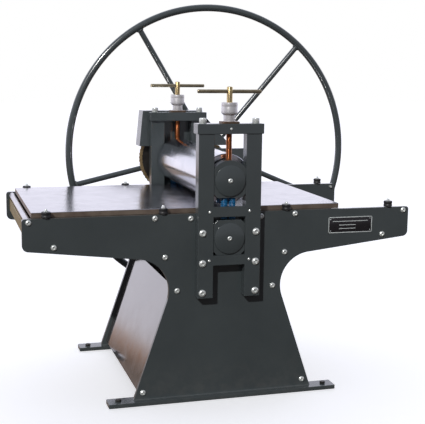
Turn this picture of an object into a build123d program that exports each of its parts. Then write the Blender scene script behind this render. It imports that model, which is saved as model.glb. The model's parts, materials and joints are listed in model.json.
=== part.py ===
"""Etching press: two rollers, a sliding steel bed and a large hand wheel on a plate frame.

Millimetres. X runs along the bed's travel, Y along the rollers (+Y is the drive side) and
Z up from the floor. The origin is on the floor, midway between the side plates, under the
rollers' centre lines.
"""
import os
from math import asin, cos, degrees, pi, radians, sin, sqrt

from build123d import *

os.makedirs("parts", exist_ok=True)

SIDES = (-1, 1)          # -1 is the near side or the left end, +1 the far side or the right end

# Side plates
PLATE_T = 19.0
PLATE_OUT = 444.0        # outer face, from the middle
PLATE_IN = PLATE_OUT - PLATE_T
PLATE_MID = PLATE_OUT - PLATE_T / 2
ARM_HALF = 908.0         # half the plate's length
ARM_TOP = 864.0
ARM_END_LOW = 724.0      # underside of the arm at its end
ARM_ROOT = (213.0, 645.5)      # where the arm's underside would meet the leg's edge
LEG_FOOT_HALF = 426.0    # half the leg's width at the foot bar
ARM_FILLET = 150.0
ARM_END_TOP_R = 12.0
ARM_END_LOW_R = 26.0

# Foot bars, and the levelling bolts through them
FOOT_T = 19.0
FOOT_HALF = 544.0
FOOT_IN, FOOT_OUT = 398.0, 476.0
FOOT_BOLT_X = 495.0
FOOT_BOLT_R = 8.0
FOOT_HEAD_R = 14.0
FOOT_HEAD_H = 10.0

# Roller pair
TOP_AXIS_Z = 1014.0
LOW_AXIS_Z = 755.0
TOP_R = 115.0
TOP_ROLLER_HALF = 429.0
LOW_ROLLER_HALF = PLATE_IN - 1.5   # this one turns between the plates
ROLLER_WALL = 20.0
ROLLER_END_T = 25.0
ROLLER_END_INSET = 6.0
JOURNAL_R = 30.0
RUNNING = 0.05           # radial clearance of a running fit
GAP = 0.3                # clearance between surfaces that only pass each other

# Bed
BED_HALF = 712.0
BED_X = -153.0           # centre of the bed at rest
BED_HALF_W = 414.0
BED_T = 24.0
BED_TOP = 886.5
BED_LOW = BED_TOP - BED_T
LOW_R = BED_LOW - GAP - LOW_AXIS_Z
BED_EDGE = 2.0

# Idler rollers and tie rods between the plates
IDLER_XS = (-880.0, -330.0, 330.0)     # the right end has no roller, only a bolt in each plate
IDLER_Z = 848.0
IDLER_R = BED_LOW - GAP - IDLER_Z
IDLER_HALF = 421.0
AXLE_R = 6.3
TIE_R = 16.0
TIES = ((166.0, 842.0, 12.0), (774.0, 736.0, TIE_R), (283.0, 671.0, TIE_R))

# Button-head bolts
BOLT_HEAD_R = 13.0
BOLT_HEAD_H = 7.5
PLATE_BOLTS = ((880.0, 848.0), (774.0, 736.0), (330.0, 848.0), (166.0, 842.0),
               (283.0, 671.0), (227.0, 515.5), (384.0, 52.0))
FLANGE_BOLTS = PLATE_BOLTS[5:]
FLANGE_BOLT_LEN = 32.0
BIG_HEAD_R = 16.5
BIG_HEAD_H = 9.0
BIG_SHANK_R = 9.5

# Guide rollers on the plates' top edges
GUIDE_XS = (-804.0, -290.0, 290.0, 804.0)
GUIDE_R = PLATE_MID - BED_HALF_W - GAP
GUIDE_LOW, GUIDE_TOP = ARM_TOP + 2.0, 892.0
PIN_R = 5.0
PIN_DEPTH = 22.0
NUT_R = 9.0
NUT_H = 13.0

# Uprights, keeper bars and lower crossbars
UP_IN, UP_OUT = 74.0, 146.0
UP_LOW, UP_TOP = 486.0, 1221.0
UP_DEPTH = 50.0
UP_FACE = PLATE_OUT + UP_DEPTH
UP_MID = PLATE_OUT + UP_DEPTH / 2
UP_BOLT_X = 124.0
UP_BOLT_ZS = (510.0, 645.0, 782.0)
LAP_X = 110.0            # how far a bar laps into the uprights' faces
LAP_SCREW_X = 93.0
LAP_T = 8.0
KEEPER = (853.0, 899.0)
CROSSBAR = (634.0, 679.0)
SMALL_HEAD_R = 6.0
SMALL_HEAD_H = 3.5
SMALL_SHANK_R = 3.0

# Bearing blocks
BLOCK_HALF = UP_IN - 0.4
BLOCK_Y = (440.0, 490.0)
SCREW_Y = sum(BLOCK_Y) / 2         # the jack screw presses on the block's middle
BLOCK_CHAMFER = 18.0
BLOCK_TOP_R = 91.0
TOP_BLOCK_LOW = 937.0
LOW_BLOCK = (CROSSBAR[1], 837.0)
BEARING_R = 55.0
PLATE_HOLE_R = 46.0
DISC_R = 70.0
DISC_T = 7.0
DISC_GAP = 0.6
DISC_BOLT_R = 11.0

# Caps and jack screws
CAP_HALF = 153.0
CAP_Z = (UP_TOP, 1266.0)
CAP_Y = (PLATE_OUT - 15.0, UP_FACE + 5.0)
CAP_SCREW_X = 122.0
CAP_SCREW = (10.0, 16.5, 24.0)     # shank radius, head radius, head height
CAP_SCREW_LOW = 1150.0
BUSH_R = 20.0
BUSH_FLANGE = (82.0, 66.0, 9.0)    # along X, along Y, height
SCREW_R = 14.0
STEM_R = 13.0
SCREW_LOW = 1085.0
STEM_LOW, STEM_TOP = 1290.0, 1427.0
TEE_Z = 1406.0
TEE_R = 8.5
TEE_HALF = 147.0
BUSH_FLANGE_CORNER = 12.0
BARREL = (26.0, 1330.0)
SLEEVE_R = 36.0
SLEEVE_BORE = 27.0
SLEEVE = (1303.0, 1358.0)
SLEEVE_ROOF = 12.0
SLEEVE_TAPER = 8.0

# Lift springs
SPRING_X = 19.0
SPRING_R = 16.0
SPRING_WIRE = 3.0

# Chain drive: pitch, tooth counts and the shafts' heights
PITCH = 19.05
BIG_TEETH, SMALL_TEETH = 60, 12
BIG_PITCH_R = PITCH / (2 * sin(pi / BIG_TEETH))
SMALL_PITCH_R = PITCH / (2 * sin(pi / SMALL_TEETH))
CHAIN_R = 5.9            # radius of a chain roller
SEAT_R = 6.6             # radius of a tooth gap
TOOTH_RISE = 3.6         # tooth tips above the pitch circle
FLARE = 2.4              # how much wider a tooth gap is on each side at the tips
SPROCKET_Y = 550.0
SPROCKET_T = 10.6
JOURNAL_PROUD = 26.0     # how far the drive journal runs past the sprocket's middle
BIG_WRAP, SMALL_WRAP = 42, 4       # pitches of chain lying on each sprocket
STRAIGHT = 10            # pitches of chain in each free run
LINK_HALF = 8.5
LINK_T = 2.4
LINK_IN = 6.2            # inner face of a link plate, from the chain's middle
WHEEL_RISE = 21.0        # wheel shaft above the top roller's axis

# Hand wheel
WHEEL_Y = 672.0
RIM_R = 793.0
RIM_TUBE_R = 19.0
SPOKE_R = 15.0
SPOKES = 5
SPOKE_START = 49.0       # angle of the first spoke at rest
HUB_R = 45.0
HUB_HALF = 26.0
SHAFT_R = 19.0
SHAFT_Y = (418.0, 704.0)

# Wheel bracket and chain guard
BRACKET_T = 38.0
BRACKET_LOW, BRACKET_TOP = 690.0, 1068.0
BRACKET_X = (UP_OUT + 4.0, 405.0)
BRACKET_CORNER = (105.0, 80.0)     # the cut at its lower right corner
BRACKET_BOLTS = ((200.0, 722.0), (250.0, 815.0), (380.0, 800.0), (300.0, 760.0))
HOUSING_R = 34.0
HOUSING_Y = (PLATE_IN, 522.0)
GUARD_Y = (CAP_Y[1] + 5.0, 604.0)
GUARD_TAB_X = (85.0, 135.0)        # tabs that stand the guard off the uprights
GUARD_TAB_Z = (1120.0, 1180.0)
GUARD_Z = (1082.0, 1271.0)
GUARD_LEFT = (-198.0, -180.0)      # left edge, at the bottom and at the top
GUARD_RIGHT = (311.0, 137.0)       # right edge, at the bottom and at the top
SHEET = 3.0

# Base panels: the sheet's outer face, low and high
PANEL_LOW, PANEL_HIGH = (399.0, 42.0), (237.0, 526.0)
FLANGE_W = 46.0

# End channels
CHANNEL_X = (850.0, 893.0)
CHANNEL_Z = (772.0, 830.0)
CHANNEL_T = 6.0

# Nameplate
PLATE_X = (498.0, 720.0)
PLATE_Z = (749.0, 825.0)
NAMEPLATE_T = 1.6


def box(x, y, z):
    """A box from three (low, high) pairs."""
    size = [high - low for low, high in (x, y, z)]
    middle = [(high + low) / 2 for low, high in (x, y, z)]
    return Pos(*middle) * Box(*size)


def rod_y(x, z, radius, low, high):
    """A cylinder along Y."""
    return Pos(x, (low + high) / 2, z) * Rot(90, 0, 0) * Cylinder(radius, high - low)


def rod_z(x, y, radius, low, high):
    """A cylinder along Z."""
    return Pos(x, y, (low + high) / 2) * Cylinder(radius, high - low)


def rod_x(y, z, radius, low, high):
    """A cylinder along X."""
    return Pos((low + high) / 2, y, z) * Rot(0, 90, 0) * Cylinder(radius, high - low)


def prism_y(sketch, low, high):
    """A sketch drawn in X and Z, run along Y from low to high."""
    return Pos(0, high, 0) * Rot(90, 0, 0) * extrude(sketch, high - low)


def outline(points):
    """A face from corner points."""
    return make_face(Polyline(*points, close=True))


def rounded(face, corners):
    """The face with each (x, z, radius) corner rounded."""
    for x, z, radius in corners:
        corner = face.vertices().sort_by_distance((x, z, 0))[0]
        face = fillet(corner, radius)
    return face


def far_of(shape):
    """The same shape on the far side of the press."""
    return mirror(shape, about=Plane.XZ)


def on_side(side, shape):
    """A shape made on the far side, put on either side."""
    return shape if side > 0 else far_of(shape)


def save(name, *shapes):
    """Write the shapes' solids, each kept separate, as one named sub-part."""
    solids = [solid for shape in shapes for solid in shape.solids()]
    whole = solids[0] if len(solids) == 1 else Compound(children=solids)
    whole.label = name
    export_step(whole, f"parts/{name}.step")


def cut_all(shape, tools):
    """The shape with every tool cut from it."""
    for tool in tools:
        shape = shape - tool
    return shape


def button_head(radius, height):
    """A domed head with a hexagon socket, on the plane z = 0, pointing up."""
    head = Cylinder(radius, height, align=(Align.CENTER, Align.CENTER, Align.MIN))
    head = fillet(head.edges().sort_by(Axis.Z)[-1], height * 0.75)
    socket = extrude(RegularPolygon(radius * 0.42, 6), height * 0.6)
    return head - Pos(0, 0, height * 0.5) * socket


def button_bolt(x, z, face, inner, head_r, head_h, shank_r):
    """A button-head bolt in a far-side plate: head outside, shank to the inner position."""
    head = Pos(x, face, z) * Rot(-90, 0, 0) * button_head(head_r, head_h)
    return head + rod_y(x, z, shank_r, inner, face)


# --- Frame -------------------------------------------------------------------------------

def side_plate():
    """The far T-shaped side plate with its bolt holes."""
    right = [(ARM_HALF, ARM_TOP), (ARM_HALF, ARM_END_LOW), ARM_ROOT, (LEG_FOOT_HALF, FOOT_T)]
    left = [(-x, z) for x, z in reversed(right)]
    face = rounded(outline(right + left), [
        (side * x, z, radius)
        for side in SIDES
        for x, z, radius in (
            (ARM_HALF, ARM_TOP, ARM_END_TOP_R),
            (ARM_HALF, ARM_END_LOW, ARM_END_LOW_R),
            (*ARM_ROOT, ARM_FILLET),
        )
    ])
    face -= Pos(0, LOW_AXIS_Z) * Circle(PLATE_HOLE_R)
    for side in SIDES:
        for x, z in PLATE_BOLTS:
            face -= Pos(side * x, z) * Circle(AXLE_R)
        for z in UP_BOLT_ZS:
            face -= Pos(side * UP_BOLT_X, z) * Circle(BIG_SHANK_R)
    plate = prism_y(face, PLATE_IN, PLATE_OUT)
    pins = [rod_z(x, PLATE_MID, PIN_R, ARM_TOP - PIN_DEPTH, ARM_TOP + 1) for x in GUIDE_XS]
    return cut_all(plate, pins)


def foot_bar():
    """The far foot bar, with a hole at each end."""
    bar = box((-FOOT_HALF, FOOT_HALF), (FOOT_IN, FOOT_OUT), (0, FOOT_T))
    bar = chamfer(bar.edges().filter_by(Axis.Z), 3)
    middle = (FOOT_IN + FOOT_OUT) / 2
    holes = [rod_z(side * FOOT_BOLT_X, middle, FOOT_BOLT_R, -1, FOOT_T + 1) for side in SIDES]
    return cut_all(bar, holes)


def levelling_bolt(x):
    """A hexagon-head bolt through a far foot bar, its tip level with the floor."""
    middle = (FOOT_IN + FOOT_OUT) / 2
    head = Pos(x, middle, FOOT_T) * extrude(RegularPolygon(FOOT_HEAD_R, 6), FOOT_HEAD_H)
    return chamfer(head.edges().group_by(Axis.Z)[-1], 1.5) + rod_z(x, middle, FOOT_BOLT_R, 0.5, FOOT_T)


def upright(side):
    """One far upright bar, pocketed for the keeper bar and the crossbar."""
    bar = box((UP_IN, UP_OUT), (PLATE_OUT, UP_FACE), (UP_LOW, UP_TOP))
    bar = chamfer(bar.edges().filter_by(Axis.Z), 1.5)
    for span in (KEEPER, CROSSBAR):
        bar -= box((UP_IN - 1, LAP_X), (UP_FACE - LAP_T, UP_FACE + 1), span)
        bar -= rod_y(LAP_SCREW_X, sum(span) / 2, SMALL_SHANK_R, UP_FACE - 30, UP_FACE)
    bar -= rod_z(CAP_SCREW_X, UP_MID, CAP_SCREW[0], CAP_SCREW_LOW, UP_TOP + 1)
    holes = [rod_y(UP_BOLT_X, z, BIG_SHANK_R, PLATE_OUT - 1, UP_FACE + 1) for z in UP_BOLT_ZS]
    bar = cut_all(bar, holes)
    return bar if side > 0 else mirror(bar, about=Plane.YZ)


def lapped_bar(span, full_depth):
    """A far bar let into both uprights; one that carries load fills the space between them."""
    bar = box((-LAP_X, LAP_X), (UP_FACE - LAP_T, UP_FACE), span)
    if full_depth:
        bar += box((-UP_IN, UP_IN), (PLATE_OUT, UP_FACE - LAP_T), span)
    height = sum(span) / 2
    holes = [rod_y(side * LAP_SCREW_X, height, SMALL_SHANK_R, UP_FACE - 20, UP_FACE + 1)
             for side in SIDES]
    return cut_all(bar, holes)


def cap():
    """The far cap across the uprights' tops."""
    block = box((-CAP_HALF, CAP_HALF), CAP_Y, CAP_Z)
    block = chamfer(block.edges(), 1.5)
    block -= rod_z(0, SCREW_Y, BUSH_R, CAP_Z[0] - 1, CAP_Z[1] + 1)
    block -= rod_y(0, sum(CAP_Z) / 2, SMALL_SHANK_R, SCREW_Y, CAP_Y[1] + 1)
    screws = [rod_z(side * CAP_SCREW_X, UP_MID, CAP_SCREW[0], CAP_Z[0] - 1, CAP_Z[1] + 1)
              for side in SIDES]
    return cut_all(block, screws)


def cap_screw(x):
    """A socket-head screw that holds the far cap down."""
    shank_r, head_r, head_h = CAP_SCREW
    head = rod_z(x, UP_MID, head_r, CAP_Z[1], CAP_Z[1] + head_h)
    head = chamfer(head.edges().sort_by(Axis.Z)[-1], 1.5)
    socket = Pos(x, UP_MID, CAP_Z[1] + head_h / 2) * extrude(RegularPolygon(9, 6), head_h)
    return head - socket + rod_z(x, UP_MID, shank_r, CAP_SCREW_LOW, CAP_Z[1])


def screw_bush():
    """The far flanged bush in which the jack screw turns."""
    length, width, height = BUSH_FLANGE
    flange = Pos(0, SCREW_Y, CAP_Z[1] + height / 2) * Box(length, width, height)
    flange = fillet(flange.edges().filter_by(Axis.Z), BUSH_FLANGE_CORNER)
    bush = flange + rod_z(0, SCREW_Y, BUSH_R, *CAP_Z)
    return bush - rod_z(0, SCREW_Y, SCREW_R + RUNNING, CAP_Z[0] - 1, CAP_Z[1] + 20)


def dial_barrel():
    """The far fixed barrel that the dial sleeve slides over."""
    radius, top = BARREL
    barrel = rod_z(0, SCREW_Y, radius, CAP_Z[1] + BUSH_FLANGE[2], top)
    return barrel - rod_z(0, SCREW_Y, SCREW_R + GAP, CAP_Z[1], top + 1)


def lower_block():
    """The far lower bearing block, bored for its bearing."""
    block = box((-BLOCK_HALF, BLOCK_HALF), (PLATE_OUT, BLOCK_Y[1]), LOW_BLOCK)
    block = chamfer(block.edges().filter_by(Axis.Y), BLOCK_CHAMFER)
    return block - rod_y(0, LOW_AXIS_Z, BEARING_R, PLATE_OUT - 1, BLOCK_Y[1] + 1)


def upper_block():
    """The far upper bearing block: round top, chamfered foot, socket for the jack screw."""
    rise = sqrt(BLOCK_TOP_R ** 2 - BLOCK_HALF ** 2)
    face = Pos(0, TOP_AXIS_Z) * Circle(BLOCK_TOP_R)
    face = face & Pos(0, TOP_AXIS_Z) * Rectangle(2 * BLOCK_HALF, 2 * BLOCK_TOP_R)
    lower = Rectangle(2 * BLOCK_HALF, TOP_AXIS_Z + rise - TOP_BLOCK_LOW)
    lower = Pos(0, (TOP_AXIS_Z + rise + TOP_BLOCK_LOW) / 2) * lower
    for side in SIDES:
        corner = lower.vertices().sort_by_distance((side * BLOCK_HALF, TOP_BLOCK_LOW, 0))[0]
        lower = chamfer(corner, BLOCK_CHAMFER)
    face += lower
    upper_half = Pos(0, TOP_BLOCK_LOW + BLOCK_TOP_R) * Rectangle(300, 2 * BLOCK_TOP_R)
    block = prism_y(face & upper_half, *BLOCK_Y)
    block -= rod_y(0, TOP_AXIS_Z, BEARING_R, BLOCK_Y[0] - 1, BLOCK_Y[1] + 1)
    return block - rod_z(0, SCREW_Y, SCREW_R + GAP, SCREW_LOW - GAP, SCREW_LOW + 50)


def bearing(axis_z, inner):
    """A far journal bearing, pressed into its block."""
    ring = rod_y(0, axis_z, BEARING_R, inner, BLOCK_Y[1])
    return ring - rod_y(0, axis_z, JOURNAL_R + RUNNING, inner - 1, BLOCK_Y[1] + 1)


def idler_axle(x):
    """A fixed axle between the plates, with a button head outside each one."""
    axle = rod_y(x, IDLER_Z, AXLE_R, -PLATE_OUT, PLATE_OUT)
    head = Pos(x, PLATE_OUT, IDLER_Z) * Rot(-90, 0, 0) * button_head(BOLT_HEAD_R, BOLT_HEAD_H)
    return axle + head + far_of(head)


def tie_rod(x, z, radius):
    """A spacer tube between the plates, held by a bolt at each end."""
    tube = rod_y(x, z, radius, -PLATE_IN, PLATE_IN)
    return tube - rod_y(x, z, AXLE_R, -PLATE_IN - 1, PLATE_IN + 1)


def tie_bolt(x, z):
    """A through bolt in a tie rod, with a button head outside each plate."""
    rod = rod_y(x, z, AXLE_R, -PLATE_OUT, PLATE_OUT)
    head = Pos(x, PLATE_OUT, z) * Rot(-90, 0, 0) * button_head(BOLT_HEAD_R, BOLT_HEAD_H)
    return rod + head + far_of(head)


def end_channel():
    """A channel across the left end of the arms, its web facing outwards."""
    channel = box(CHANNEL_X, (-PLATE_IN, PLATE_IN), CHANNEL_Z)
    inside_z = (CHANNEL_Z[0] + CHANNEL_T, CHANNEL_Z[1] - CHANNEL_T)
    channel -= box((CHANNEL_X[0] - 1, CHANNEL_X[1] - CHANNEL_T), (-500, 500), inside_z)
    return mirror(channel, about=Plane.YZ)


def base_panel(side):
    """A sloping sheet between the plates, with a flange folded in along each edge."""
    (low_x, low_z), (high_x, high_z) = PANEL_LOW, PANEL_HIGH
    reach = high_z - low_z
    slope = (low_x - high_x) / reach
    outer = [(low_x, low_z), (high_x, high_z)]
    skin = outline(outer + [(high_x - SHEET, high_z), (low_x - SHEET, low_z)])
    flange = outline(outer + [(high_x - FLANGE_W, high_z), (low_x - FLANGE_W, low_z)])
    top = outline([
        (high_x, high_z), (high_x - FLANGE_W, high_z),
        (high_x - FLANGE_W, high_z - SHEET), (high_x + slope * SHEET, high_z - SHEET),
    ])
    panel = prism_y(skin, -PLATE_IN, PLATE_IN) + prism_y(top, -PLATE_IN, PLATE_IN)
    edge = prism_y(flange, PLATE_IN - SHEET, PLATE_IN)
    panel += edge + far_of(edge)
    for x, z in FLANGE_BOLTS:
        panel -= rod_y(x, z, AXLE_R, -PLATE_OUT, PLATE_OUT)
    return panel if side > 0 else mirror(panel, about=Plane.YZ)


def wheel_bracket(axis_x, axis_z):
    """The plate on the far side that holds the wheel shaft's housing."""
    left, right = BRACKET_X
    bend, rise = BRACKET_CORNER
    face = outline([(left, BRACKET_LOW), (right - bend, BRACKET_LOW), (right, BRACKET_LOW + rise),
                    (right, BRACKET_TOP), (left, BRACKET_TOP)])
    face = rounded(face, [(right, BRACKET_TOP, 20), (right, BRACKET_LOW + rise, 30)])
    bracket = prism_y(face, PLATE_OUT, PLATE_OUT + BRACKET_T)
    for x, z in PLATE_BOLTS:
        bracket -= rod_y(x, z, BOLT_HEAD_R + 2, PLATE_OUT - 1, PLATE_OUT + 60)
    for x, z in BRACKET_BOLTS:
        bracket -= rod_y(x, z, AXLE_R, PLATE_OUT - 1, PLATE_OUT + 60)
    bracket -= rod_z(GUIDE_XS[2], PLATE_MID, GUIDE_R + 4, ARM_TOP, GUIDE_TOP + NUT_H + 8)
    return bracket - rod_y(axis_x, axis_z, HOUSING_R, PLATE_OUT - 1, PLATE_OUT + 60)


def chain_guard():
    """A sheet cover over the sprockets' upper halves, open underneath."""
    def face_of(inset):
        low, high = GUARD_Z
        lean = (GUARD_LEFT[1] - GUARD_LEFT[0]) / (high - low)
        fall = (GUARD_RIGHT[0] - GUARD_RIGHT[1]) / (high - low)
        top = high - inset
        floor = low - (1 if inset else 0)
        left_in = inset * sqrt(1 + lean ** 2)
        right_in = inset * sqrt(1 + fall ** 2)
        return outline([
            (GUARD_LEFT[0] + lean * (floor - low) + left_in, floor),
            (GUARD_LEFT[0] + lean * (top - low) + left_in, top),
            (GUARD_RIGHT[0] - fall * (top - low) - right_in, top),
            (GUARD_RIGHT[0] - fall * (floor - low) - right_in, floor),
        ])

    cover = prism_y(face_of(0), *GUARD_Y)
    cover -= prism_y(face_of(SHEET), GUARD_Y[0] + SHEET, GUARD_Y[1] - SHEET)
    tab = box(GUARD_TAB_X, (UP_FACE, GUARD_Y[0]), GUARD_TAB_Z)
    return cover + tab + mirror(tab, about=Plane.YZ)


# --- Moving parts ------------------------------------------------------------------------

def roller(axis_z, radius, half, journal_high):
    """A tube roller with recessed, pierced ends and a journal at each end."""
    shell = rod_y(0, axis_z, radius, -half, half)
    shell = chamfer(shell.edges().filter_by(GeomType.CIRCLE), 3)
    shell -= rod_y(0, axis_z, radius - ROLLER_WALL, -500, 500)
    end = rod_y(0, axis_z, radius - ROLLER_WALL, 0, ROLLER_END_T)
    for turn in range(4):
        angle = radians(45 + 90 * turn)
        reach = (radius - ROLLER_WALL + JOURNAL_R) / 2
        hole = rod_y(reach * cos(angle), axis_z + reach * sin(angle), 15, -1, 60)
        end -= hole
    start = half - ROLLER_END_INSET - ROLLER_END_T
    far_end = Pos(0, start, 0) * end
    return shell + far_end + far_of(far_end) + rod_y(0, axis_z, JOURNAL_R, -BLOCK_Y[1], journal_high)


def end_disc(axis_z):
    """The disc bolted to a journal's near end, which keeps the bearing in."""
    face = -BLOCK_Y[1] - DISC_GAP
    disc = rod_y(0, axis_z, DISC_R, face - DISC_T, face)
    disc = chamfer(disc.edges().sort_by(Axis.Y)[0], 1.5)
    disc += rod_y(0, axis_z, JOURNAL_R, face, -BLOCK_Y[1])
    head = Pos(0, face - DISC_T, axis_z) * Rot(90, 0, 0) * button_head(DISC_BOLT_R, 6)
    return disc, head


def sprocket(teeth, pitch_r, bore_r, hub_r, hub_half):
    """A sprocket about the Z axis, with a tooth gap on the X axis."""
    tip = pitch_r + TOOTH_RISE + GAP
    mouth = [(pitch_r, SEAT_R), (tip, SEAT_R + FLARE), (tip, -SEAT_R - FLARE), (pitch_r, -SEAT_R)]
    gap = outline(mouth) + Pos(pitch_r, 0) * Circle(SEAT_R)
    face = Circle(pitch_r + TOOTH_RISE)
    for tooth in range(teeth):
        face -= Rot(0, 0, 360 * tooth / teeth) * gap
    wheel = Pos(0, 0, -SPROCKET_T / 2) * extrude(face, SPROCKET_T)
    return wheel + Cylinder(hub_r, 2 * hub_half) - Cylinder(bore_r, 200)


def centre_distance():
    """Shaft spacing that makes the chain a whole number of pitches."""
    big = radians(180 - 180 * BIG_WRAP / BIG_TEETH)
    small = radians(180 * SMALL_WRAP / SMALL_TEETH)
    rise = BIG_PITCH_R * sin(big) - SMALL_PITCH_R * sin(small)
    run = sqrt((STRAIGHT * PITCH) ** 2 - rise ** 2)
    return run + BIG_PITCH_R * cos(big) - SMALL_PITCH_R * cos(small)


def chain(centres):
    """Chain rollers and two link bands, with the big sprocket's centre at the origin."""
    big_steps = range(-BIG_WRAP // 2, BIG_WRAP // 2 + 1)
    small_steps = range(-SMALL_WRAP // 2, SMALL_WRAP // 2 + 1)
    big = [radians(180 + 360 * step / BIG_TEETH) for step in big_steps]
    small = [radians(360 * step / SMALL_TEETH) for step in small_steps]
    points = [(BIG_PITCH_R * cos(a), BIG_PITCH_R * sin(a)) for a in big]
    turn = [(centres + SMALL_PITCH_R * cos(a), SMALL_PITCH_R * sin(a)) for a in small]
    for start, end in ((points[-1], turn[0]), (turn[-1], points[0])):
        fractions = [step / STRAIGHT for step in range(1, STRAIGHT)]
        points += [(start[0] + f * (end[0] - start[0]), start[1] + f * (end[1] - start[1]))
                   for f in fractions]
    points += turn
    rollers = [Pos(x, y, 0) * Cylinder(CHAIN_R, 2 * LINK_IN) for x, y in points]

    tilt = degrees(asin((BIG_PITCH_R - SMALL_PITCH_R) / centres))
    loop = []
    for grow in (LINK_HALF, -LINK_HALF):
        big_r, small_r = BIG_PITCH_R + grow, SMALL_PITCH_R + grow
        corner = [(r * cos(radians(90 - tilt)) + at, r * sin(radians(90 - tilt)))
                  for r, at in ((big_r, 0), (small_r, centres))]
        belt = outline([corner[0], corner[1], (corner[1][0], -corner[1][1]),
                        (corner[0][0], -corner[0][1])])
        loop.append(belt + Circle(big_r) + Pos(centres, 0) * Circle(small_r))
    band = extrude(loop[0] - loop[1], LINK_T)
    return rollers + [Pos(0, 0, LINK_IN) * band, Pos(0, 0, -LINK_IN - LINK_T) * band]


def turned_in(shape, angle):
    """A shape about the Z axis, stood on the top roller's axis with its X axis raised."""
    return Pos(0, SPROCKET_Y, TOP_AXIS_Z) * Rot(0, -angle, 0) * Rot(90, 0, 0) * shape


def jack_screw():
    """The far screw: thread below, plain stem above, cross hole for its bar."""
    screw = rod_z(0, SCREW_Y, SCREW_R, SCREW_LOW, STEM_LOW)
    stem = rod_z(0, SCREW_Y, STEM_R, STEM_LOW, STEM_TOP)
    stem = chamfer(stem.edges().sort_by(Axis.Z)[-1], 3)
    return screw + stem - rod_x(SCREW_Y, TEE_Z, TEE_R, -50, 50)


def tee_bar():
    """The far screw's cross bar, chamfered at its ends."""
    bar = rod_x(SCREW_Y, TEE_Z, TEE_R, -TEE_HALF, TEE_HALF)
    return chamfer(bar.edges().filter_by(GeomType.CIRCLE), 2.5)


def dial_sleeve():
    """The far dial sleeve: a cup over the fixed barrel, tapered at its lower edge."""
    low, high = SLEEVE
    sleeve = rod_z(0, SCREW_Y, SLEEVE_R, low, high)
    sleeve = chamfer(sleeve.edges().sort_by(Axis.Z)[0], SLEEVE_TAPER)
    sleeve = chamfer(sleeve.edges().sort_by(Axis.Z)[-1], 2)
    sleeve -= rod_z(0, SCREW_Y, SLEEVE_BORE, low - 1, high - SLEEVE_ROOF)
    return sleeve - rod_z(0, SCREW_Y, STEM_R, low, high + 1)


def lift_spring(x):
    """A closed sleeve that stands for one far lift spring, its ends just clear of the blocks."""
    low, high = LOW_BLOCK[1] + GAP, TOP_BLOCK_LOW - GAP
    tube = rod_z(x, SCREW_Y, SPRING_R, low, high)
    return tube - rod_z(x, SCREW_Y, SPRING_R - 2 * SPRING_WIRE, low - 1, high + 1)


def wheel_parts(axis_x, axis_z):
    """The hand wheel's rim, spokes and hub."""
    stand = Pos(axis_x, WHEEL_Y, axis_z) * Rot(90, 0, 0)
    rim = stand * Torus(RIM_R, RIM_TUBE_R)
    hub = stand * (Cylinder(HUB_R, 2 * HUB_HALF) - Cylinder(SHAFT_R, 200))
    spokes = []
    for index in range(SPOKES):
        angle = SPOKE_START + 360 * index / SPOKES
        bar = Rot(0, 0, angle) * Pos((RIM_R + HUB_R) / 2, 0, 0) * Rot(0, 90, 0)
        bar = bar * Cylinder(SPOKE_R, RIM_R - HUB_R + SPOKE_R)
        spokes.append(stand * (bar - Cylinder(HUB_R, 200) - Torus(RIM_R, RIM_TUBE_R)))
    return rim, spokes, hub


# --- Building ----------------------------------------------------------------------------

WHEEL_Z = TOP_AXIS_Z + WHEEL_RISE
CENTRES = centre_distance()
WHEEL_X = sqrt(CENTRES ** 2 - WHEEL_RISE ** 2)
DRIVE_ANGLE = degrees(asin(WHEEL_RISE / CENTRES))

save("near_side_plate", far_of(side_plate()))
tapped = [rod_y(x, z, AXLE_R, PLATE_IN - 1, PLATE_OUT + 1) for x, z in BRACKET_BOLTS]
save("far_side_plate", cut_all(side_plate(), tapped))
save("foot_bars", foot_bar(), far_of(foot_bar()))
feet = [levelling_bolt(side * FOOT_BOLT_X) for side in SIDES]
save("levelling_bolts", *feet, *[far_of(bolt) for bolt in feet])

save("left_base_panel", base_panel(-1))
save("right_base_panel", base_panel(1))
save("end_channel", end_channel())
save("tie_rods", *[tie_rod(side * x, z, r) for side in SIDES for x, z, r in TIES])
save("idler_axles", *[idler_axle(x) for x in IDLER_XS])
short_places = [(side * x, z) for side in SIDES for x, z in FLANGE_BOLTS] + [PLATE_BOLTS[0]]
short_bolts = [
    button_bolt(x, z, PLATE_OUT, PLATE_OUT - FLANGE_BOLT_LEN, BOLT_HEAD_R, BOLT_HEAD_H, AXLE_R)
    for x, z in short_places
]
tie_bolts = [tie_bolt(side * x, z) for side in SIDES for x, z, _ in TIES]
bracket_bolts = [
    button_bolt(x, z, PLATE_OUT + BRACKET_T, PLATE_IN, BOLT_HEAD_R, BOLT_HEAD_H, AXLE_R)
    for x, z in BRACKET_BOLTS
]
save("plate_bolts", *short_bolts, *[far_of(bolt) for bolt in short_bolts], *tie_bolts, *bracket_bolts)

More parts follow.
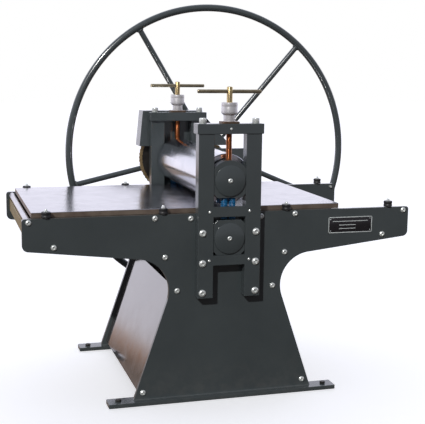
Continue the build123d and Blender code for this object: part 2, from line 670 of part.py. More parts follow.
bars = [upright(side) for side in SIDES]
save("far_uprights", *bars)
save("near_uprights", *[far_of(bar) for bar in bars])
big_bolts = [
    button_bolt(side * UP_BOLT_X, z, UP_FACE, PLATE_IN, BIG_HEAD_R, BIG_HEAD_H, BIG_SHANK_R)
    for side in SIDES for z in UP_BOLT_ZS
]
save("upright_bolts", *big_bolts, *[far_of(bolt) for bolt in big_bolts])
for name, span, full_depth in (("keeper_bars", KEEPER, False), ("lower_crossbars", CROSSBAR, True)):
    bar = lapped_bar(span, full_depth)
    save(name, bar, far_of(bar))
lap_screws = [
    button_bolt(side * LAP_SCREW_X, sum(span) / 2, UP_FACE, UP_FACE - 18,
                SMALL_HEAD_R, SMALL_HEAD_H, SMALL_SHANK_R)
    for side in SIDES for span in (KEEPER, CROSSBAR)
]
set_screw = button_bolt(0, sum(CAP_Z) / 2, CAP_Y[1], CAP_Y[1] - 5,
                        SMALL_HEAD_R, SMALL_HEAD_H, SMALL_SHANK_R)
lap_screws.append(set_screw)
save("small_screws", *lap_screws, *[far_of(screw) for screw in lap_screws])

save("upright_caps", cap(), far_of(cap()))
caps = [cap_screw(side * CAP_SCREW_X) for side in SIDES]
save("cap_screws", *caps, *[far_of(screw) for screw in caps])
save("screw_bushes", screw_bush(), far_of(screw_bush()))
save("dial_barrels", dial_barrel(), far_of(dial_barrel()))

save("lower_blocks", lower_block(), far_of(lower_block()))
low_bearing = bearing(LOW_AXIS_Z, PLATE_OUT)
save("lower_bearings", low_bearing, far_of(low_bearing))

save("wheel_bracket", wheel_bracket(WHEEL_X, WHEEL_Z))
housing = rod_y(WHEEL_X, WHEEL_Z, HOUSING_R, *HOUSING_Y)
save("wheel_housing", housing - rod_y(WHEEL_X, WHEEL_Z, SHAFT_R + RUNNING, 0, 600))
save("chain_guard", chain_guard())
save("drive_chain", *[turned_in(piece, DRIVE_ANGLE) for piece in chain(CENTRES)])
save("nameplate", box(PLATE_X, (-PLATE_OUT - NAMEPLATE_T, -PLATE_OUT), PLATE_Z))

guide_pins = []
for x in GUIDE_XS:
    pin = rod_z(x, PLATE_MID, PIN_R, ARM_TOP - PIN_DEPTH, GUIDE_TOP + GAP)
    foot = rod_z(x, PLATE_MID, NUT_R, ARM_TOP, GUIDE_LOW - GAP)
    nut = rod_z(x, PLATE_MID, NUT_R, GUIDE_TOP + GAP, GUIDE_TOP + GAP + NUT_H)
    guide_pins.append(pin + foot + fillet(nut.edges().sort_by(Axis.Z)[-1], NUT_R * 0.7))
save("guide_pins", *guide_pins, *[far_of(pin) for pin in guide_pins])
for side, side_name in zip(SIDES, ("near", "far")):
    for number, x in enumerate(GUIDE_XS, 1):
        wheel = rod_z(x, PLATE_MID, GUIDE_R, GUIDE_LOW, GUIDE_TOP)
        wheel = chamfer(wheel.edges().filter_by(GeomType.CIRCLE), 2)
        wheel -= rod_z(x, PLATE_MID, PIN_R + RUNNING, GUIDE_LOW - 1, GUIDE_TOP + 1)
        save(f"{side_name}_guide_roller_{number}", on_side(side, wheel))

bed = box((BED_X - BED_HALF, BED_X + BED_HALF), (-BED_HALF_W, BED_HALF_W), (BED_LOW, BED_TOP))
save("bed", chamfer(bed.edges(), BED_EDGE))

for number, x in enumerate(IDLER_XS, 1):
    tube = rod_y(x, IDLER_Z, IDLER_R, -IDLER_HALF, IDLER_HALF)
    save(f"idler_roller_{number}", tube - rod_y(x, IDLER_Z, AXLE_R + RUNNING, -500, 500))

save("top_roller", roller(TOP_AXIS_Z, TOP_R, TOP_ROLLER_HALF, SPROCKET_Y + JOURNAL_PROUD))
save("bottom_roller", roller(LOW_AXIS_Z, LOW_R, LOW_ROLLER_HALF, BLOCK_Y[1]))
save("top_end_disc", *end_disc(TOP_AXIS_Z))
save("bottom_end_disc", *end_disc(LOW_AXIS_Z))
big_sprocket = sprocket(BIG_TEETH, BIG_PITCH_R, JOURNAL_R, 55, 18)
save("roller_sprocket", turned_in(big_sprocket, DRIVE_ANGLE))
small_sprocket = Pos(CENTRES, 0, 0) * sprocket(SMALL_TEETH, SMALL_PITCH_R, SHAFT_R, 28, 18)
save("wheel_sprocket", turned_in(small_sprocket, DRIVE_ANGLE))

save("upper_blocks", upper_block(), far_of(upper_block()))
top_bearing = bearing(TOP_AXIS_Z, BLOCK_Y[0])
save("upper_bearings", top_bearing, far_of(top_bearing))
springs = [lift_spring(side * SPRING_X) for side in SIDES]
save("lift_springs", *springs, *[far_of(spring) for spring in springs])
for side, side_name in zip(SIDES, ("near", "far")):
    save(f"{side_name}_jack_screw", on_side(side, jack_screw()))
    save(f"{side_name}_tee_bar", on_side(side, tee_bar()))
    save(f"{side_name}_dial_sleeve", on_side(side, dial_sleeve()))

rim, spokes, hub = wheel_parts(WHEEL_X, WHEEL_Z)
save("wheel_rim", rim)
save("wheel_spokes", *spokes)
save("wheel_hub", hub)
save("wheel_shaft", rod_y(WHEEL_X, WHEEL_Z, SHAFT_R, *SHAFT_Y))
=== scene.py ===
"""Looks of the etching press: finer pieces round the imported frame, materials, light and camera.

Metres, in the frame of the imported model: X along the bed, Y towards the hand wheel, Z up.
"""
import json
from math import atan2, ceil, cos, pi, radians, sin, sqrt

import bmesh
import bpy
from mathutils import Matrix, Vector, noise


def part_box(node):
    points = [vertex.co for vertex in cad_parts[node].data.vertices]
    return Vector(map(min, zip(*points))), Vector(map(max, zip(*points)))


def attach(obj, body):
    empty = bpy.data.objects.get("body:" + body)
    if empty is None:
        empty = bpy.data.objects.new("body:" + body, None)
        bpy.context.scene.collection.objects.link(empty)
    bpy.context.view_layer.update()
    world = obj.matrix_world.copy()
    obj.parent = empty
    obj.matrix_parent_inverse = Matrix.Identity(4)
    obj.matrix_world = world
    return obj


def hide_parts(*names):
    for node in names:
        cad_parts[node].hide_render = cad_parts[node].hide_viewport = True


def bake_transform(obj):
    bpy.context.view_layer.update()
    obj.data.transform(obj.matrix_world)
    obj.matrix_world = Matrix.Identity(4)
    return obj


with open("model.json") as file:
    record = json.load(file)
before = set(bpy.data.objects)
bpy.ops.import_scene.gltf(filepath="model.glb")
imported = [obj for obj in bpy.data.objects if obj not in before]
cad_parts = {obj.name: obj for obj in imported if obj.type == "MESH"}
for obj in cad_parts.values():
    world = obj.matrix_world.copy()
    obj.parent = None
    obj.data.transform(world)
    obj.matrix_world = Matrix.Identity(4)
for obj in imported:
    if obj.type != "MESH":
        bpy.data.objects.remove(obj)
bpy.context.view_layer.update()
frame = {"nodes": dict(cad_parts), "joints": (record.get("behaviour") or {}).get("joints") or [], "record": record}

RECORD = frame["record"]
BODY_OF = {node: body for body, nodes in RECORD["behaviour"]["bodies"].items() for node in nodes}
SLOT_OF = {part["node"]: part["material_slot"] for part in RECORD["subparts"]}
JOINT_AT = {j["name"]: Vector(j["pos_m"]) for j in frame["joints"] if j["type"] == "hinge"}
SIDES = (-1, 1)
X, Y, Z = Vector((1, 0, 0)), Vector((0, 1, 0)), Vector((0, 0, 1))
PLATE_FACE = -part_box("near_side_plate")[0].y      # outer face of a side plate, from the middle
JOURNAL_R = 0.030
TOP_ROLLER_HALF, BOTTOM_ROLLER_HALF = 0.429, 0.4235      # half lengths of the two rollers
BUTTON_HEADS = {"plate_bolts": 0.0075, "idler_axles": 0.0075, "upright_bolts": 0.009,
                "small_screws": 0.0035}                  # head height in each node


# --- Materials ---------------------------------------------------------------------------

class Finish:
    """A material's node tree, with short ways to add textures to its Principled shader."""

    def __init__(self, name):
        self.material = bpy.data.materials.new(name)
        self.material.use_nodes = True
        self.tree = self.material.node_tree
        self.shader = self.tree.nodes["Principled BSDF"]
        self.place = self.add("ShaderNodeTexCoord").outputs["Object"]

    def add(self, kind, **settings):
        node = self.tree.nodes.new(kind)
        for key, value in settings.items():
            setattr(node, key, value)
        return node

    def link(self, source, target):
        self.tree.links.new(source, target)

    def noise(self, scale, detail=4.0, stretch=(1, 1, 1), rough=0.55):
        """Soft noise from 0 to 1. A small stretch value draws it out along that axis."""
        mapping = self.add("ShaderNodeMapping")
        mapping.inputs["Scale"].default_value = stretch
        self.link(self.place, mapping.inputs["Vector"])
        texture = self.add("ShaderNodeTexNoise")
        texture.inputs["Scale"].default_value = scale
        texture.inputs["Detail"].default_value = detail
        texture.inputs["Roughness"].default_value = rough
        self.link(mapping.outputs["Vector"], texture.inputs["Vector"])
        return texture.outputs["Fac"]

    def spread(self, value, low, high, to_low=0.0, to_high=1.0):
        """The value remapped from one range to another, and held inside it."""
        node = self.add("ShaderNodeMapRange")
        limits = (("From Min", low), ("From Max", high), ("To Min", to_low), ("To Max", to_high))
        for key, number in limits:
            node.inputs[key].default_value = number
        self.link(value, node.inputs["Value"])
        return node.outputs["Result"]

    def mix(self, amount, first, second):
        """Two colours, or outputs, mixed by an output."""
        node = self.add("ShaderNodeMix", data_type="RGBA")
        self.link(amount, node.inputs["Factor"])
        for key, value in ((6, first), (7, second)):
            if isinstance(value, tuple):
                node.inputs[key].default_value = (*value, 1)
            else:
                self.link(value, node.inputs[key])
        return node.outputs[2]

    def bump(self, height, strength, depth, below=None):
        """A bump from a height, laid over another bump's normal if there is one."""
        node = self.add("ShaderNodeBump")
        node.inputs["Strength"].default_value = strength
        node.inputs["Distance"].default_value = depth
        self.link(height, node.inputs["Height"])
        if below is not None:
            self.link(below, node.inputs["Normal"])
        return node.outputs["Normal"]

    def set(self, **values):
        """Constants on the shader's own sockets; an underscore stands for a space."""
        for key, value in values.items():
            self.shader.inputs[key.replace("_", " ")].default_value = value


def finish(name, colours, rough, metallic=0.0, patch=5.0, grain=(700.0, (1, 1, 1)), relief=(0.15, 0.0002),
           chips=None, dust=None, coat=0.0, index=1.5):
    """A procedural finish: patchy colour, uneven roughness, fine grain, and optional chips and dust."""
    f = Finish(name)
    f.set(Metallic=metallic, Coat_Weight=coat, IOR=index, Coat_Roughness=0.08)
    patches = f.noise(patch, 6)
    fine = f.noise(grain[0], 3, grain[1])
    colour = f.mix(f.spread(patches, 0.35, 0.65), *colours)
    colour = f.mix(f.spread(fine, 0.55, 0.85, 0.0, 0.35), colour, tuple(0.55 * c for c in colours[0]))
    if dust:
        near_floor = f.add("ShaderNodeSeparateXYZ")
        f.link(f.place, near_floor.inputs[0])
        haze = f.add("ShaderNodeMath", operation="MULTIPLY")
        f.link(f.spread(near_floor.outputs["Z"], 0.0, 0.22, 0.16, 0.0), haze.inputs[0])
        f.link(f.spread(f.noise(24, 8), 0.4, 0.7), haze.inputs[1])
        colour = f.mix(haze.outputs[0], colour, dust)
    if chips:
        colour = f.mix(f.spread(f.noise(150, 9, rough=0.75), 0.71, 0.74), colour, chips)
    f.link(colour, f.shader.inputs["Base Color"])
    f.link(f.spread(f.noise(patch * 7, 7), 0.3, 0.7, *rough), f.shader.inputs["Roughness"])
    wave = f.bump(f.noise(patch * 12, 2), relief[0] * 0.4, relief[1] * 2)
    f.link(f.bump(fine, *relief, below=wave), f.shader.inputs["Normal"])
    return f.material


SLATE = ((0.048, 0.058, 0.061), (0.041, 0.050, 0.053))
STEEL = ((0.62, 0.61, 0.63), (0.50, 0.50, 0.53))
FINISHES = {
    "slate_paint": finish("slate_paint", SLATE, (0.17, 0.27), patch=3.0, grain=(520.0, (1, 1, 1)),
                          relief=(0.08, 0.0002), chips=(0.12, 0.13, 0.14), dust=(0.16, 0.15, 0.14), index=1.6,
                          coat=0.35),
    "gloss_paint": finish("gloss_paint", ((0.030, 0.024, 0.022), (0.022, 0.018, 0.018)), (0.07, 0.16), patch=2.0,
                          grain=(160.0, (1, 1, 1)), relief=(0.05, 0.0002), dust=(0.14, 0.12, 0.11), index=2.3,
                          coat=0.6),
    "yellow_zinc": finish("yellow_zinc", ((0.34, 0.25, 0.12), (0.22, 0.20, 0.09)), (0.3, 0.5), metallic=0.7,
                          patch=14.0, relief=(0.1, 0.0001)),
    "tie_steel": finish("tie_steel", ((0.06, 0.06, 0.065), (0.045, 0.045, 0.05)), (0.3, 0.5), patch=9.0,
                        chips=(0.3, 0.3, 0.3)),
    "bright_fasteners": finish("bright_fasteners", ((0.80, 0.82, 0.80), (0.66, 0.70, 0.68)), (0.2, 0.36),
                               metallic=0.6, patch=60.0, relief=(0.08, 0.0001)),
    "dark_fasteners": finish("dark_fasteners", ((0.05, 0.045, 0.04), (0.03, 0.028, 0.026)), (0.3, 0.5),
                             metallic=0.7, patch=70.0, chips=(0.4, 0.38, 0.35)),
    "bearing_steel": finish("bearing_steel", STEEL, (0.14, 0.26), metallic=1.0, patch=20.0,
                            grain=(900.0, (0.05, 1, 0.05)), relief=(0.08, 0.0001)),
    "bronze": finish("bronze", ((0.20, 0.13, 0.09), (0.14, 0.10, 0.07)), (0.3, 0.5), metallic=0.8, patch=30.0),
    "satin_steel": finish("satin_steel", ((0.68, 0.67, 0.68), (0.60, 0.59, 0.61)), (0.26, 0.4), metallic=0.6,
                          patch=18.0, grain=(1500.0, (0.03, 0.03, 1)), relief=(0.1, 0.0001)),
    "brass_screw": finish("brass_screw", ((0.70, 0.55, 0.26), (0.56, 0.42, 0.22)), (0.16, 0.34), metallic=1.0,
                          patch=30.0, grain=(1200.0, (0.05, 0.05, 1)), relief=(0.08, 0.0001)),
    "mirror_roller": finish("mirror_roller", ((0.72, 0.72, 0.76), (0.64, 0.65, 0.70)), (0.13, 0.21), metallic=1.0,
                            patch=4.0, grain=(1400.0, (0.01, 1, 0.01)), relief=(0.05, 0.0001)),
    "bed_steel": finish("bed_steel", ((0.55, 0.545, 0.57), (0.50, 0.495, 0.52)), (0.16, 0.24), metallic=1.0,
                        patch=2.2, grain=(900.0, (0.012, 1, 1)), relief=(0.04, 0.0001)),
    "idler_steel": finish("idler_steel", STEEL, (0.2, 0.36), metallic=1.0, patch=9.0,
                          grain=(900.0, (1, 0.05, 1)), relief=(0.08, 0.0001)),
    "black_nylon": finish("black_nylon", ((0.012, 0.012, 0.013), (0.02, 0.02, 0.021)), (0.35, 0.55), patch=30.0,
                          grain=(1400.0, (0.05, 0.05, 1)), relief=(0.2, 0.0002)),
    "chain_brass": finish("chain_brass", ((0.52, 0.38, 0.20), (0.34, 0.24, 0.13)), (0.24, 0.45), metallic=0.85,
                          patch=60.0, relief=(0.1, 0.0001)),
    "sprocket_steel": finish("sprocket_steel", ((0.07, 0.065, 0.06), (0.04, 0.036, 0.034)), (0.3, 0.5),
                             metallic=0.8, patch=16.0, grain=(500.0, (1, 0.05, 1))),
    "spring_blue": finish("spring_blue", ((0.010, 0.13, 0.30), (0.008, 0.10, 0.24)), (0.25, 0.42), patch=60.0,
                          chips=(0.3, 0.3, 0.32)),
    "plate_black": finish("plate_black", ((0.010, 0.010, 0.012), (0.014, 0.013, 0.015)), (0.15, 0.3), patch=40.0,
                          coat=0.4),
}
EDGE_STEEL = finish("edge_steel", ((0.30, 0.24, 0.19), (0.20, 0.15, 0.12)), (0.35, 0.55), metallic=0.8, patch=12.0,
                    grain=(500.0, (1, 1, 0.1)), relief=(0.25, 0.0003))
COPPER = finish("copper_thread", ((0.52, 0.20, 0.08), (0.36, 0.13, 0.05)), (0.26, 0.42), metallic=0.95, patch=40.0)
BRIGHT_RIM = finish("bright_rim", ((0.62, 0.66, 0.66), (0.5, 0.54, 0.54)), (0.2, 0.35), metallic=0.3, patch=50.0)
WELD = finish("weld_paint", SLATE, (0.3, 0.5), patch=20.0, relief=(0.3, 0.0006), dust=(0.16, 0.15, 0.14))
CROSS_BAR = finish("cross_bar", ((0.46, 0.40, 0.27), (0.34, 0.28, 0.18)), (0.22, 0.4), metallic=0.95, patch=40.0,
                   grain=(900.0, (0.05, 1, 1)))
INK = finish("dial_ink", ((0.02, 0.02, 0.02), (0.03, 0.03, 0.03)), (0.4, 0.6), patch=80.0)


# --- Mesh helpers ------------------------------------------------------------------------

def piece(name, bm, materials, like, stands_for=(), sharp=32, weighted=False, body=None):
    """A finished piece that rides with the body of the CAD node it is like, in the materials it is given."""
    bmesh.ops.recalc_face_normals(bm, faces=bm.faces)
    mesh = bpy.data.meshes.new(name)
    bm.to_mesh(mesh)
    bm.free()
    for material in materials:
        mesh.materials.append(material)
    mesh.shade_smooth()
    mesh.set_sharp_from_angle(angle=radians(sharp))
    obj = bpy.data.objects.new(name, mesh)
    bpy.context.scene.collection.objects.link(obj)
    if weighted:
        obj.modifiers.new("even_normals", "WEIGHTED_NORMAL").keep_sharp = True
    if body != "none":
        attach(obj, body or BODY_OF[like])
    if stands_for:
        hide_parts(*stands_for)
    return obj


def frame_on(axis, at):
    """The matrix that stands the Z axis along the given axis at a point."""
    return Matrix.Translation(at) @ Z.rotation_difference(Vector(axis)).to_matrix().to_4x4()


def hexagon(radius, angle):
    """Distance to a hexagon's edge, with its corners at the radius."""
    return radius * cos(pi / 6) / cos((angle % (pi / 3)) - pi / 6)


def turn(bm, profile, at, axis=Z, steps=48, closed=False, index=0):
    """Turn a profile of (radius, height) points about an axis. A third value of "hex" makes that ring
    a hexagon, and a number there ripples it by that share. A closed profile makes a ring."""
    matrix = frame_on(axis, at)
    rings = []
    for radius, height, *shape in profile:
        if radius == 0:
            rings.append([bm.verts.new(matrix @ Vector((0, 0, height)))])
            continue
        ring = []
        for step in range(steps):
            angle = 2 * pi * step / steps
            r = radius
            if shape and shape[0] == "hex":
                r = hexagon(radius, angle)
            elif shape:
                r = radius * (1 - shape[0] * (step % 2))
            ring.append(bm.verts.new(matrix @ Vector((r * cos(angle), r * sin(angle), height))))
        rings.append(ring)
    pairs = list(zip(rings, rings[1:]))
    if closed:
        pairs.append((rings[-1], rings[0]))
    for low, high in pairs:
        for step in range(steps):
            after = (step + 1) % steps
            corners = [low[step % len(low)], low[after % len(low)],
                       high[after % len(high)], high[step % len(high)]]
            face = bm.faces.new(list(dict.fromkeys(corners)))
            face.material_index = index
    if not closed:
        for ring in (rings[0], rings[-1]):
            if len(ring) > 1:
                bm.faces.new(ring).material_index = index


def block(bm, low, high, bevel=0.0, index=0):
    """A box between two corners, with rounded edges."""
    low, high = Vector(low), Vector(high)
    made = bmesh.ops.create_cube(bm, size=1)["verts"]
    for vert in made:
        vert.co = Vector((v + 0.5) * (b - a) + a for v, a, b in zip(vert.co, low, high))
    faces = list({face for vert in made for face in vert.link_faces})
    for face in faces:
        face.material_index = index
    if bevel:
        edges = list({edge for face in faces for edge in face.edges})
        bmesh.ops.bevel(bm, geom=edges, offset=bevel, segments=3, profile=0.5, affect="EDGES")


def solids_of(node):
    """The lowest and highest corner of each separate solid in a CAD node."""
    bm = bmesh.new()
    bm.from_mesh(frame["nodes"][node].data)
    bmesh.ops.remove_doubles(bm, verts=bm.verts, dist=1e-6)
    left, boxes = set(bm.verts), []
    while left:
        stack, found = [left.pop()], []
        while stack:
            vert = stack.pop()
            found.append(vert.co.copy())
            for edge in vert.link_edges:
                other = edge.other_vert(vert)
                if other in left:
                    left.remove(other)
                    stack.append(other)
        boxes.append((Vector(map(min, *found)), Vector(map(max, *found))))
    bm.free()
    return sorted(boxes, key=lambda b: tuple(round(v, 4) for v in b[0]))


def refined(node, bevel=0.0012):
    """The CAD node's own shape, with its sharp edges rounded over."""
    bm = bmesh.new()
    bm.from_mesh(frame["nodes"][node].data)
    bmesh.ops.remove_doubles(bm, verts=bm.verts, dist=1e-6)
    bmesh.ops.dissolve_limit(bm, angle_limit=radians(0.4), verts=bm.verts, edges=bm.edges)
    sharp = [e for e in bm.edges if e.is_manifold and e.calc_face_angle(0) > radians(30)]
    bmesh.ops.bevel(bm, geom=sharp, offset=bevel, segments=2, profile=0.6, affect="EDGES", clamp_overlap=True)
    for face in bm.faces:
        face.material_index = 0
    piece(node + "_finished", bm, [FINISHES[SLOT_OF[node]]], node, [node], weighted=True)


# --- Fasteners ---------------------------------------------------------------------------

def head_profile(radius, height):
    """A button head's (radius, height) points from its rim to the middle of its hexagon socket."""
    edge = height * 0.16
    steep = radians(58)
    dome = [(radius * cos(steep * i / 8), edge + (height - edge) * sin(steep * i / 8) / sin(steep))
            for i in range(9)]
    socket = radius * 0.46
    return [(radius * 0.985, 0), (radius, edge * 0.4), *dome, (socket, height * 0.995, "hex"),
            (socket * 0.97, height * 0.5, "hex"), (socket * 0.5, height * 0.42), (0, height * 0.40)]


def button_bolts(node, height):
    """Every button-head bolt of a node, with a head at each end that stands outside the side plates."""
    bm = bmesh.new()
    shank_share = 0.48
    for low, high in solids_of(node):
        middle, radius = (low + high) / 2, (high.x - low.x) / 2
        shank = radius * shank_share
        heads = [side for side, end in ((-1, low.y), (1, high.y)) if side * end > PLATE_FACE]
        for side in heads:
            outer = low.y if side < 0 else high.y
            base = Vector((middle.x, outer - side * height, middle.z))
            inner = 0.0 if len(heads) == 2 else (high.y if side < 0 else low.y)
            length = abs(base.y - inner)
            profile = [(0, -length), (shank, -length), (shank, 0), *head_profile(radius, height)]
            turn(bm, profile, base, (0, side, 0), steps=36)
    piece(node + "_finished", bm, [FINISHES[SLOT_OF[node]]], node, [node])


def cap_screws():
    """Socket-head screws with knurled sides."""
    bm = bmesh.new()
    shank_share, head_height = 0.6, 0.024
    for low, high in solids_of("cap_screws"):
        middle, radius = (low + high) / 2, (high.x - low.x) / 2
        base = high.z - head_height
        socket = radius * 0.56
        profile = [
            (0, low.z), (radius * shank_share, low.z), (radius * shank_share, base),
            (radius * 0.96, base), (radius, base + 0.001, 0.03), (radius, high.z - 0.003, 0.03),
            (radius * 0.97, high.z - 0.002), (radius * 0.9, high.z), (socket * 1.06, high.z),
            (socket, high.z - 0.001, "hex"), (socket, high.z - 0.012, "hex"), (0, high.z - 0.0135),
        ]
        turn(bm, profile, Vector((middle.x, middle.y, 0)), steps=96)
    piece("cap_screws_finished", bm, [FINISHES["bright_fasteners"]], "cap_screws", ["cap_screws"])


def hexagon_bolts():
    """The levelling bolts: a chamfered hexagon head over a washer face."""
    bm = bmesh.new()
    head_height, share = 0.010, 0.57
    for low, high in solids_of("levelling_bolts"):
        middle, radius = (low + high) / 2, max(high.x - low.x, high.y - low.y) / 2
        base = high.z - head_height
        profile = [
            (0, low.z), (radius * share - 0.001, low.z), (radius * share, low.z + 0.001),
            (radius * share, base),
            (radius * 0.84, base), (radius * 0.84, base + 0.0006), (radius, base + 0.0012, "hex"),
            (radius, high.z - 0.0022, "hex"), (radius * 0.82, high.z - 0.0003), (radius * 0.5, high.z),
            (0, high.z),
        ]
        turn(bm, profile, Vector((middle.x, middle.y, 0)), steps=48)
    piece("levelling_bolts_finished", bm, [FINISHES["dark_fasteners"]], "levelling_bolts",
          ["levelling_bolts"])


def guide_pins():
    """Stud, foot washer and acorn nut of each guide roller."""
    bm = bmesh.new()
    roller_low, roller_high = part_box("near_guide_roller_1")
    gap = 0.0003
    for low, high in solids_of("guide_pins"):
        middle, radius = (low + high) / 2, (high.x - low.x) / 2
        plate_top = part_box("near_side_plate")[1].z
        pin = radius * 0.55
        nut_low = roller_high.z + gap
        flat_top = nut_low + 0.0058
        rise = high.z - flat_top
        collar = 0.0012
        dome = [(radius * 0.72 * cos(pi / 2 * i / 8),
                 flat_top + collar + (rise - collar) * sin(pi / 2 * i / 8)) for i in range(8)]
        profile = [
            (0, low.z), (pin, low.z), (pin, plate_top), (radius, plate_top),
            (radius, roller_low.z - gap), (pin, roller_low.z - gap), (pin, nut_low),
            (radius * 0.92, nut_low), (radius, nut_low + 0.0005, "hex"),
            (radius, flat_top - 0.0006, "hex"), (radius * 0.84, flat_top), *dome, (0, high.z),
        ]
        turn(bm, profile, Vector((middle.x, middle.y, 0)), steps=36)
    piece("guide_pins_finished", bm, [FINISHES["bright_fasteners"]], "guide_pins", ["guide_pins"])


# --- Rollers and bed ---------------------------------------------------------------------

def guide_roller(node):
    """A turned nylon roller with a waist groove, rounded rims and a counterbored face."""
    low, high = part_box(node)
    middle, radius = (low + high) / 2, (high.x - low.x) / 2
    bore, rim, groove = 0.00505, 0.0018, 0.0011
    profile = [(bore, low.z), (radius - rim, low.z)]
    profile += [(radius - rim + rim * sin(a), low.z + rim - rim * cos(a)) for a in (pi / 6, pi / 3, pi / 2)]
    profile += [(radius, middle.z - 0.004), (radius - groove, middle.z - 0.0022),
                (radius - groove, middle.z + 0.0022), (radius, middle.z + 0.004)]
    profile += [(radius - rim + rim * cos(a), high.z - rim + rim * sin(a)) for a in (0, pi / 6, pi / 3)]
    profile += [(radius - rim, high.z), (radius * 0.62, high.z), (radius * 0.6, high.z - 0.0008),
                (bore + 0.002, high.z - 0.0008), (bore, high.z - 0.0008)]
    bm = bmesh.new()
    turn(bm, profile, Vector((middle.x, middle.y, 0)), steps=64, closed=True)
    piece(node + "_finished", bm, [FINISHES["black_nylon"]], node, [node])


def round_bar(node, bore_share, chamfer=0.0006, steps=48):
    """Straight turned tubes along Y, one for each solid of the node."""
    bm = bmesh.new()
    for low, high in solids_of(node):
        middle, radius = (low + high) / 2, (high.x - low.x) / 2
        bore = radius * bore_share
        outer = [(radius - chamfer, low.y), (radius, low.y + chamfer), (radius, high.y - chamfer),
                 (radius - chamfer, high.y)]
        inner = [(bore, high.y - chamfer), (bore, low.y + chamfer)]
        at = Vector((middle.x, 0, middle.z))
        turn(bm, outer + inner, at, Y, steps=steps, closed=True)
    piece(node + "_finished", bm, [FINISHES[SLOT_OF[node]]], node, [node])


def press_roller(node, half):
    """A ground roller with stepped journals, recessed webs and a small chamfer."""
    low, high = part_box(node)
    middle, radius = (low + high) / 2, (high.x - low.x) / 2
    wall, recess, chamfer = 0.020, 0.006, 0.0025
    side = [(radius - wall, half - recess), (radius - wall + 0.001, half), (radius - chamfer, half),
            (radius, half - chamfer)]
    web = [(JOURNAL_R + 0.012, half - recess), (JOURNAL_R + 0.010, half - recess + 0.003),
           (JOURNAL_R, half - recess + 0.003)]
    spans = 12
    ribs = [(radius, half - chamfer - (half - chamfer) * 2 * i / spans) for i in range(1, spans)]
    right = [(0, high.y), (JOURNAL_R - 0.002, high.y), (JOURNAL_R, high.y - 0.002), *reversed(web), *side]
    left = [(r, -h) for r, h in reversed([*reversed(web), *side])]
    left += [(JOURNAL_R, low.y + 0.002), (JOURNAL_R - 0.002, low.y), (0, low.y)]
    bm = bmesh.new()
    turn(bm, right + ribs + left, Vector((middle.x, 0, middle.z)), Y, steps=256)
    piece(node + "_finished", bm, [FINISHES["mirror_roller"]], node, [node])


def bed():
    """The ground bed plate, its edges left brown from the mill."""
    low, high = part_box("bed")
    bm = bmesh.new()
    block(bm, low, high, bevel=0.0018)
    for face in bm.faces:
        face.material_index = 0 if abs(face.calc_center_median().z - high.z) < 0.002 else 1
    piece("bed_finished", bm, [FINISHES["bed_steel"], EDGE_STEEL], "bed", ["bed"], weighted=True)


# --- Jack screws -------------------------------------------------------------------------

def threaded(bm, at, low, high, radius, pitch, depth):
    """A rod with a real helical thread about the Z axis."""
    steps, per_turn = 40, 10
    rows = ceil((high - low) / pitch * per_turn)
    rings = []
    for row in range(rows + 1):
        z = low + (high - low) * row / rows
        ring = []
        for step in range(steps):
            angle = 2 * pi * step / steps
            phase = (z / pitch - step / steps) % 1
            cut = min(1.0, max(0.0, 1.6 - 4 * abs(phase - 0.5)))
            fade = min(1.0, (z - low) / pitch, (high - z) / pitch)
            r = radius - depth * cut * fade
            ring.append(bm.verts.new(at + Vector((r * cos(angle), r * sin(angle), z))))
        rings.append(ring)
    for first, second in zip(rings, rings[1:]):
        for step in range(steps):
            after = (step + 1) % steps
            bm.faces.new((first[step], first[after], second[after], second[step]))
    bm.faces.new(rings[0])
    bm.faces.new(rings[-1])


